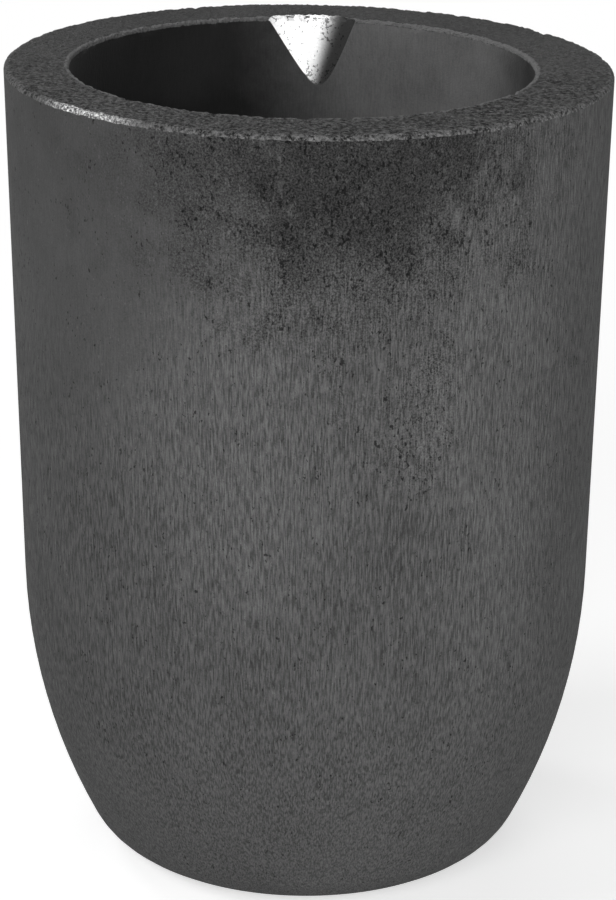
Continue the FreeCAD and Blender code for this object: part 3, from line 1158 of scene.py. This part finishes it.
@dataclass(frozen=True)
class SoftLight:
    """One rectangular studio light.

    Args:
        name: the light's name.
        azimuth: degrees from the camera's side towards the right.
        elevation: degrees over the level of the aim.
        distance: metres from the aim.
        width: the light's width.
        height: the light's height.
        level: irradiance at the aim, as a share of what shows a colour as written.
        aim_height: height of the point that it faces.
    """

    name: str
    azimuth: float
    elevation: float
    distance: float
    width: float
    height: float
    level: float
    aim_height: float = 0.1

    def place(self) -> None:
        """Add the light to the scene."""
        turn = math.radians(self.azimuth)
        tilt = math.radians(self.elevation)
        way = Vector((math.sin(turn) * math.cos(tilt), -math.cos(turn) * math.cos(tilt),
                      math.sin(tilt)))
        lamp = bpy.data.lights.new(self.name, "AREA")
        lamp.shape = "RECTANGLE"
        lamp.size = self.width
        lamp.size_y = self.height
        lamp.energy = self.level * math.pi ** 2 * self.distance ** 2
        holder = new_object(self.name, lamp)
        holder.location = Vector((0.0, 0.0, self.aim_height)) + way * self.distance
        holder.rotation_euler = way.to_track_quat("Z", "Y").to_euler()


LIGHTS = (
    SoftLight("left_key", -75.0, 35.0, 1.3, 0.5, 0.5, 0.3, 0.17),
    SoftLight("front_high", -15.0, 30.0, 1.3, 0.8, 0.4, 0.28),
    SoftLight("front_low", 20.0, 0.0, 1.3, 1.1, 0.18, 0.45),
    SoftLight("notch_strip", 42.0, 12.5, 1.1, 1.1, 0.14, 0.15, 0.18),
    SoftLight("back_high", 170.0, 40.0, 1.3, 0.8, 0.5, 0.12, 0.18),
    SoftLight("left_back", -130.0, 38.0, 1.3, 0.3, 0.3, 0.12, 0.18),
)


@dataclass(frozen=True)
class Camera:
    """The view of the pot.

    Args:
        elevation: degrees over the rim's plane, seen from the rim's middle.
        distance: metres from the rim's middle.
        aim: the point in the middle of the view.
        lens: focal length for a 36 mm sensor.
        roll: degrees that the right of the view is lifted.
    """

    elevation: float = 12.27
    distance: float = 0.735
    aim: Tuple[float, float, float] = (0.0004, 0.0, 0.0973)
    lens: float = 127.1
    roll: float = 0.44

    def place(self, rim_height: float) -> None:
        """Add the camera to the scene, with the rim's plane at a height."""
        tilt = math.radians(self.elevation)
        position = Vector((0.0, -math.cos(tilt), math.sin(tilt))) * self.distance
        position.z += rim_height
        ahead = (Vector(self.aim) - position).normalized()
        turn = Matrix.Rotation(math.radians(-self.roll), 4, ahead)
        level = ahead.to_track_quat("-Z", "Y").to_matrix().to_4x4()
        data = bpy.data.cameras.new("camera")
        data.lens = self.lens
        data.sensor_width = 36.0
        data.clip_start = 0.01
        holder = new_object("camera", data)
        holder.matrix_world = Matrix.Translation(position) @ turn @ level
        bpy.context.scene.camera = holder


@dataclass
class Studio:
    """Floor, world, lights and camera.

    Args:
        rim_height: height of the pot.
        world_level: how much light comes from all round.
        floor_radius: radius of the floor.
        floor_grey: how light the floor's paint is.
        floor_lift: light that the floor sends out round the pot.
        shadow_reach: where the shadow's floor starts to turn white, and where it is.
    """

    rim_height: float
    world_level: float = 0.08
    floor_radius: float = 8.0
    floor_grey: float = 0.8
    floor_lift: float = 0.6
    shadow_reach: Tuple[float, float] = (0.2, 0.7)

    def _floor(self) -> None:
        """Add the pale floor, which keeps the pot's shadow and is white to the eye."""
        mesh = bpy.data.meshes.new("floor")
        r = self.floor_radius
        mesh.from_pydata([(-r, -r, 0), (r, -r, 0), (r, r, 0), (-r, r, 0)], [], [(0, 1, 2, 3)])
        floor = new_object("floor", mesh)
        material = bpy.data.materials.new("pale_floor")
        material.use_nodes = True
        material.node_tree.nodes.clear()
        graph = Graph(material.node_tree)
        length = graph.add("ShaderNodeVectorMath", operation="LENGTH")
        graph.feed(length.inputs[0], graph.add("ShaderNodeTexCoord").outputs["Object"])
        far = graph.ramp(length.outputs["Value"], *self.shadow_reach)
        white = graph.join("ShaderNodeEmission")
        lift = graph.make("ShaderNodeEmission", {"Strength": self.floor_lift}).outputs[0]
        paint = graph.join("ShaderNodeBsdfDiffuse", (*[self.floor_grey] * 3, 1.0))
        lifted = graph.join("ShaderNodeAddShader", paint, lift)
        near = graph.join("ShaderNodeMixShader", far, lifted, white)
        shown = graph.join("ShaderNodeMixShader", graph.direct(), paint, near)
        graph.make("ShaderNodeOutputMaterial", {"Surface": shown})
        mesh.materials.append(material)

    def _world(self) -> None:
        """Light the room evenly, and show it white to the camera."""
        world = bpy.data.worlds.new("studio")
        bpy.context.scene.world = world
        world.use_nodes = True
        world.node_tree.nodes.clear()
        graph = Graph(world.node_tree)
        strength = graph.ramp(graph.direct(), 0.0, 1.0, self.world_level, 1.0)
        light = graph.join("ShaderNodeBackground", (1.0, 1.0, 1.0, 1.0), strength)
        graph.make("ShaderNodeOutputWorld", {"Surface": light})

    def build(self) -> None:
        """Add everything around the pot."""
        self._floor()
        self._world()
        for light in LIGHTS:
            light.place()
        Camera().place(self.rim_height)
        bpy.context.scene.view_settings.view_transform = "Standard"
        LOG.info("studio: %d lights", len(LIGHTS))


def main() -> None:
    """Build the pot and its studio around the frame."""
    logging.basicConfig(level=logging.INFO, format="%(name)s: %(message)s")
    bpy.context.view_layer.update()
    low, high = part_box("crucible")
    section = PotSection(rim_radius=(high[0] - low[0]) / 2, height=high[2] - low[2])
    groups = Textures().groups
    finishes = {Zone.OUTSIDE: OUTSIDE_FINISH, Zone.RIM: RIM_FINISH, Zone.BORE: BORE_FINISH}
    Crucible(section).build({zone: ZoneMaterial(finish, groups, BurnishAndHighlight()).build()
                             for zone, finish in finishes.items()})
    Studio(section.height).build()


if __name__ == "__main__":
    main()
